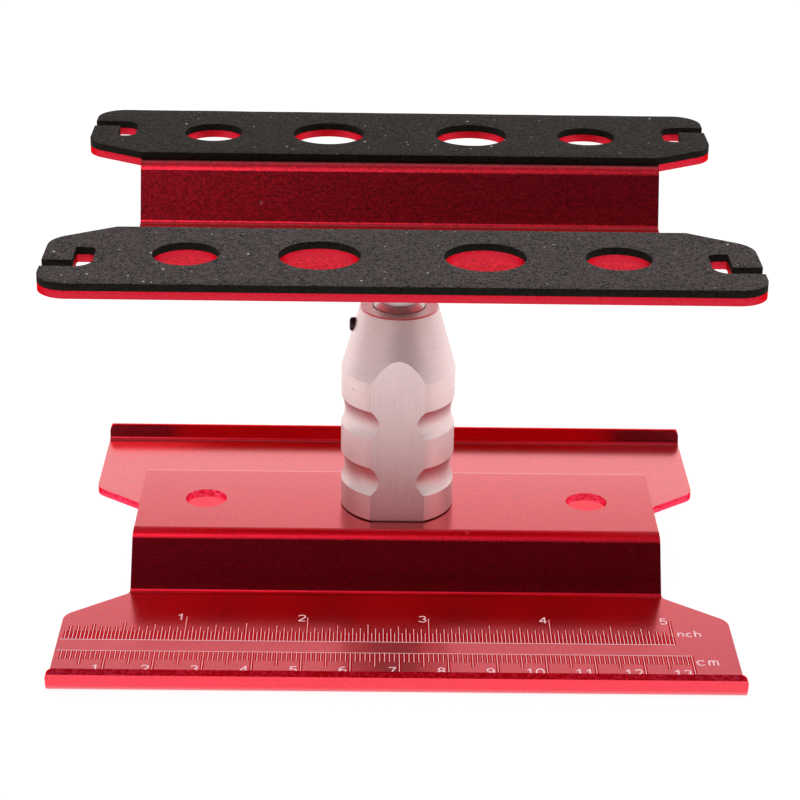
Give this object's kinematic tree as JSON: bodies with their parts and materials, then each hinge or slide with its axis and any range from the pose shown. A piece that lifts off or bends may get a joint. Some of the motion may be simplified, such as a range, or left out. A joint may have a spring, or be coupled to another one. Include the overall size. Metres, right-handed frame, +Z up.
{
  "type": "hobby car work stand",
  "caption": "Bent-sheet work stand for servicing a hobby car: ruled base, telescoping pillar with lock screws, and a padded table that swivels.",
  "frame": {"origin": "on the axis of the pillar, in the plane that the base rests on", "axes": "+Z up along the pillar, +X along the length of the base, -Y towards the ruler side (front)"},
  "size_m": [0.14, 0.1228, 0.086],
  "materials": {
    "red_anodised": "satin brushed red anodised",
    "silver_anodised": "fine turned, satin silver anodised",
    "turned_steel": "polished turned steel",
    "zinc_steel": "bright zinc",
    "black_oxide": "black oxide",
    "brass": "turned",
    "nylon": "natural nylon",
    "foam": "matt closed-cell foam"
  },
  "bodies": {
    "base": {"base_plate": "red_anodised", "pillar": "silver_anodised", "pillar_screws": "black_oxide", "pillar_lock_washers": "zinc_steel"},
    "lock_tip_body": {"lock_tip": "brass"},
    "lock_screw_body": {"lock_screw": "black_oxide"},
    "side_tip_body": {"side_tip": "brass"},
    "side_screw_body": {"side_screw": "black_oxide"},
    "lift": {"post": "turned_steel", "thrust_washer": "zinc_steel", "cap_washer": "zinc_steel", "pivot_screw": "black_oxide"},
    "table": {"platform_plate": "red_anodised", "pivot_bush": "brass", "friction_washer": "nylon", "pad_front": "foam", "pad_rear": "foam"}
  },
  "joints": [
    {"name": "lift_slide", "type": "slide", "parent": "base", "child": "lift", "axis": [0, 0, 1], "range_m": [0, 0.02]},
    {"name": "table_swivel", "type": "hinge", "parent": "lift", "child": "table", "pos_m": [0, 0, 0.0707], "axis": [0, 0, 1], "continuous": true},
    {"name": "lock_tip_slide", "type": "slide", "parent": "base", "child": "lock_tip_body", "axis": [-1, 0, 0], "range_m": [0, 0.0005]},
    {"name": "lock_screw_turn", "type": "hinge", "parent": "lock_tip_body", "child": "lock_screw_body", "pos_m": [-0.009, 0, 0.056], "axis": [-1, 0, 0], "range_deg": [0, 360]},
    {"name": "side_tip_slide", "type": "slide", "parent": "base", "child": "side_tip_body", "axis": [0.9877, 0.1564, 0], "range_m": [0, 0.0005]},
    {"name": "side_screw_turn", "type": "hinge", "parent": "side_tip_body", "child": "side_screw_body", "pos_m": [0.00889, 0.00141, 0.056], "axis": [0.9877, 0.1564, 0], "range_deg": [0, 360]}
  ],
  "couplings": [
    {"joint": "lock_screw_turn", "follows": "lock_tip_slide", "rad_per_m": 12566},
    {"joint": "side_screw_turn", "follows": "side_tip_slide", "rad_per_m": 12566}
  ]
}
